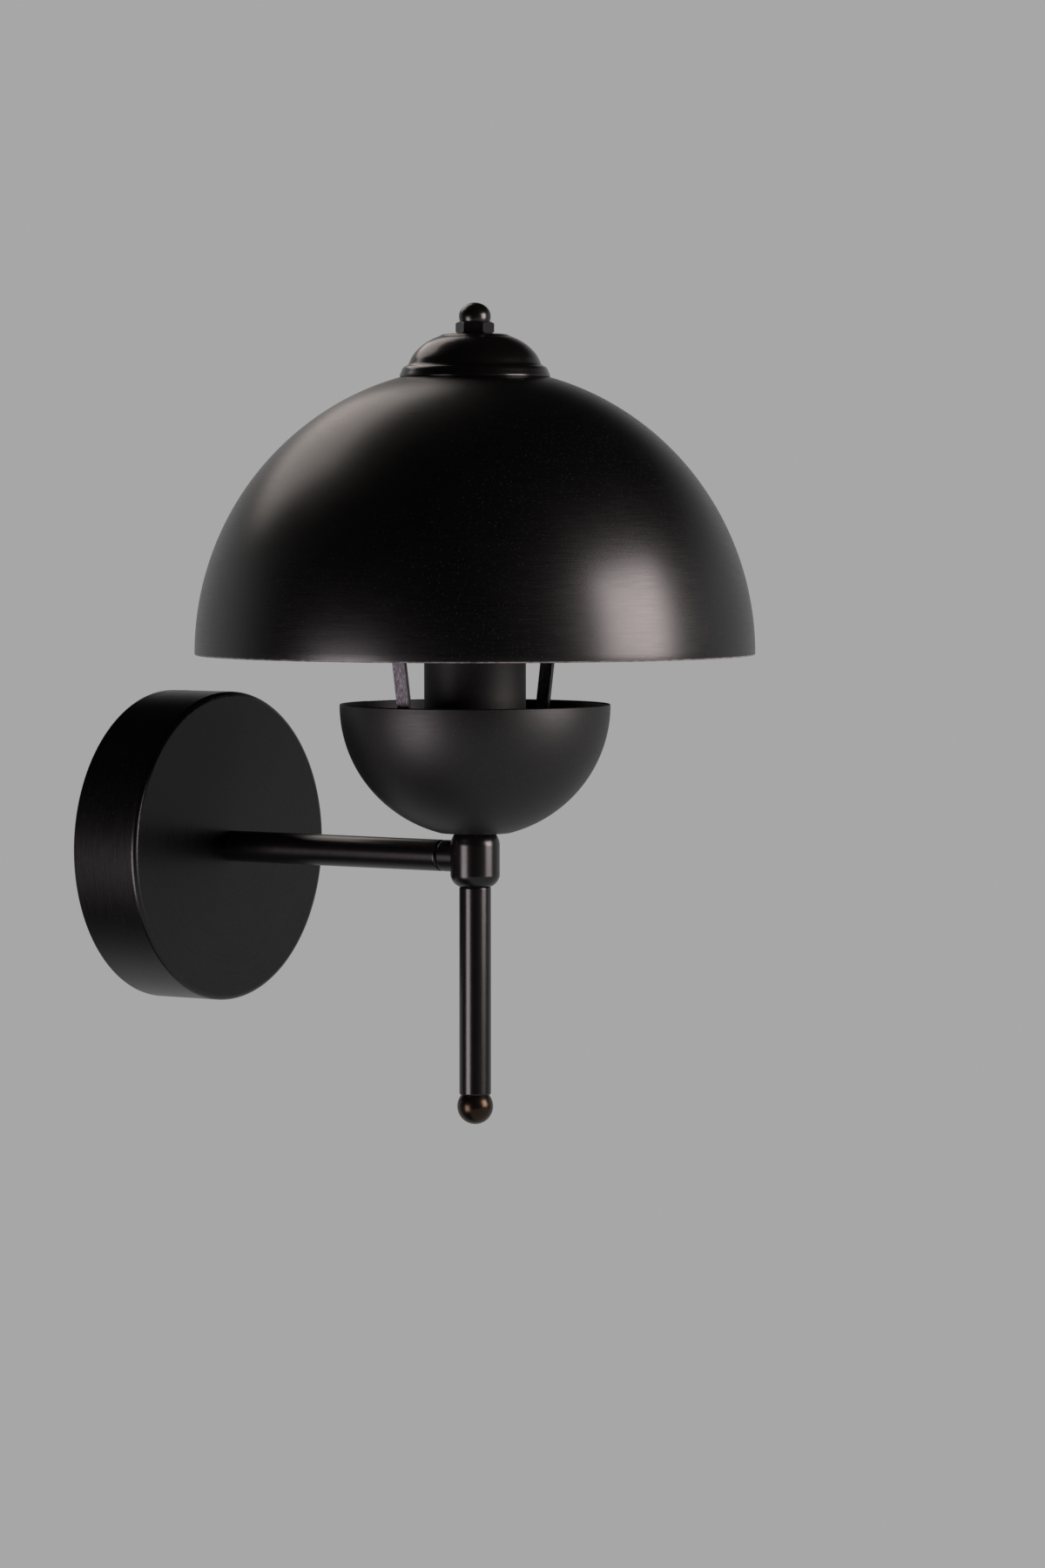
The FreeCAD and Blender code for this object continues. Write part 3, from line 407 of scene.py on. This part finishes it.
def spun_shade():
    """The domed shade: two elliptical walls, a rolled rim and a holed flat on top."""
    low, high = shade_low.z / MM, shade_high.z / MM
    radius = (shade_high.x - shade_low.x) / 2 / MM
    base = low + SHEET / 2     # level of the rolled rim's middle
    outside = ellipse_wall(base, high, radius, SHADE_FLAT)
    lining = ellipse_wall(base, high - SHEET, radius - SHEET, SHADE_FLAT)
    rolled = [(radius - SHEET / 2 * (1 - math.cos(turn)), base - SHEET / 2 * math.sin(turn))
              for turn in (math.pi * k / RIM_STEPS for k in range(RIM_STEPS - 1, 0, -1))]
    flat = [(STUD_HOLE, high), (STUD_HOLE, high - SHEET)]
    spin("spun_shade", "dome_shade", outside + flat + lining[::-1] + rolled,
         SPUN_COAT["dome_shade"])


def spun_cap():
    """The stepped cap on top of the shade, with its leaning lip and the small ring round the nut."""
    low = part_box("top_cap")[0].z / MM
    wall = smooth_wall([(radius, low + height) for radius, height in CAP_WALL])
    lining = [(max(radius - SHEET, STUD_HOLE), height - CAP_LINING_DROP) for radius, height in wall]
    lining[0] = (wall[0][0] - SHEET, low + CAP_LIP_SLANT)
    spin("spun_cap", "top_cap", wall + lining[::-1], LACQUER["top_cap"])


spun_shade()
spun_cap()


# Camera, from the photograph: left of the light and a little above it

PHOTO_HEIGHT = 1800                            # pixels
FOCAL_PIXELS = 6690
SENSOR = 36.0                                  # millimetres
VIEW_TURN = math.radians(-55.2)                # from looking straight at the wall
VIEW_DOWN = math.radians(3.0)
VIEW_DISTANCE = 2.2
AIM_RIGHT, AIM_UP = 17.9 * MM, 27.5 * MM       # the photo's middle, from the foot of the upright axis

level = Vector((-math.sin(VIEW_TURN), math.cos(VIEW_TURN), 0))
forward = level * math.cos(VIEW_DOWN) - Vector((0, 0, math.sin(VIEW_DOWN)))
right = forward.cross(Vector((0, 0, 1))).normalized()
up = right.cross(forward)
aim = AXIS + right * AIM_RIGHT + up * AIM_UP

camera = bpy.data.objects.new("camera", bpy.data.cameras.new("camera"))
camera.data.sensor_width = SENSOR
camera.data.lens = FOCAL_PIXELS * SENSOR / PHOTO_HEIGHT
camera.location = aim - forward * VIEW_DISTANCE
camera.rotation_euler = forward.to_track_quat("-Z", "Y").to_euler()
bpy.context.scene.collection.objects.link(camera)
bpy.context.scene.camera = camera


# Studio

BACKDROP_GREY = "#a7a7a7"
ROOM_GREY = "#101011"
LIGHT_CENTRE = AXIS + Vector((0, 0, 60 * MM))  # the gap between cup and shade, which the soft lights face
FLOOR_DROP = 2.5                               # from the arm down to the floor
FLOOR_HALF = 7.0                               # half the floor's width


def softbox(name, turn, lift, distance, width, height, glow, colour):
    """Flat soft light; turn is its angle to the right of the camera and lift above the horizon, in degrees.
    glow is how bright its face is, where a white wall in full light is 1."""
    side, rise = math.radians(turn), math.radians(lift)
    toward = right * math.sin(side) - level * math.cos(side)
    way = toward * math.cos(rise) + Vector((0, 0, math.sin(rise)))
    lamp = bpy.data.lights.new(name, "AREA")
    lamp.shape = "RECTANGLE"
    lamp.size, lamp.size_y = width, height
    lamp.energy = glow * math.pi * width * height
    lamp.color = linear(colour)[:3]
    thing = bpy.data.objects.new(name, lamp)
    thing.location = LIGHT_CENTRE + way * distance
    thing.rotation_euler = (-way).to_track_quat("-Z", "Y").to_euler()
    thing.visible_camera = False
    bpy.context.scene.collection.objects.link(thing)
    return thing


def light_the_object():
    """Three soft lights. The rear one stands behind the wall that carries the canopy, so it reaches only what
    stands out from the wall."""
    softbox("softbox_right", turn=68, lift=11, distance=1.1, width=0.6, height=0.68,
            glow=11.0, colour="#fff1f0")
    softbox("softbox_left", turn=-52, lift=-16, distance=1.3, width=0.6, height=0.7,
            glow=6.5, colour="#fff0f6")
    rear = softbox("softbox_rear_left", turn=-143, lift=40, distance=1.3, width=0.95, height=0.65,
                   glow=1.9, colour="#fff3ec")
    reached = bpy.data.collections.new("out_from_the_wall")
    for thing in bpy.context.scene.objects:
        if thing.type == "MESH" and thing is not NODES["canopy"]:
            reached.objects.link(thing)
    rear.light_linking.receiver_collection = reached


def studio_room():
    """The backdrop grey for the camera and through glass; in gloss the same grey behind the light as the
    camera sees it, fading into the dark room in front and above."""
    world = bpy.data.worlds.new("studio_room")
    world.use_nodes = True
    bpy.context.scene.world = world
    tree = world.node_tree
    tree.nodes.clear()
    look = add(tree, "TexCoord").outputs["Generated"]
    facing = add(tree, "VectorMath", {0: look, 1: level}, operation="DOT_PRODUCT")
    behind = add(tree, "MapRange", {"Value": facing, "From Min": 0.0, "From Max": 0.5})
    rise = add(tree, "SeparateXYZ", {"Vector": look}).outputs["Z"]
    low = add(tree, "MapRange", {"Value": rise, "From Min": 0.5, "From Max": 0.2})
    backdrop = add(tree, "Math", {0: behind, 1: low}, operation="MULTIPLY")
    rays = add(tree, "LightPath").outputs
    straight = add(tree, "Math", {0: rays["Is Camera Ray"], 1: rays["Is Transmission Ray"]},
                   operation="MAXIMUM")
    plain = add(tree, "Math", {0: rays["Is Glossy Ray"], 1: backdrop, 2: straight},
                operation="MULTIPLY_ADD", use_clamp=True)
    colour = add(tree, "Mix", {"Factor": plain, "A": ROOM_GREY, "B": BACKDROP_GREY}, data_type="RGBA")
    background = add(tree, "Background", {"Color": colour, "Strength": 1.0})
    add(tree, "OutputWorld", {"Surface": background})


def pale_floor():
    """Plain painted floor well below the light; the camera and gloss see it as part of the even backdrop."""
    bpy.ops.mesh.primitive_plane_add(size=2 * FLOOR_HALF, location=(0, -FLOOR_HALF, -FLOOR_DROP))
    floor = bpy.context.object
    floor.name = "floor"
    material, tree, shader, where = blank("pale_floor_paint")
    mottle = add(tree, "TexNoise", {"Vector": where, "Scale": cells(30)})
    colour = add(tree, "Mix", {"Factor": mottle, "A": "#b9b8b6", "B": "#c0bfbd"}, data_type="RGBA")
    fill(shader, {"Roughness": 0.8, "Base Color": colour})
    plain = add(tree, "Emission", {"Color": BACKDROP_GREY, "Strength": 1.0})
    rays = add(tree, "LightPath").outputs
    mirrored = add(tree, "Math", {0: rays["Is Glossy Ray"], 1: rays["Is Transmission Ray"]},
                   operation="MAXIMUM")
    seen = add(tree, "Math", {0: rays["Is Camera Ray"], 1: mirrored}, operation="MAXIMUM")
    both = add(tree, "MixShader", {0: seen, 1: shader, 2: plain})
    fill(tree.nodes["Material Output"], {"Surface": both})
    floor.data.materials.append(material)


light_the_object()
studio_room()
pale_floor()
bpy.context.scene.view_settings.view_transform = "Standard"
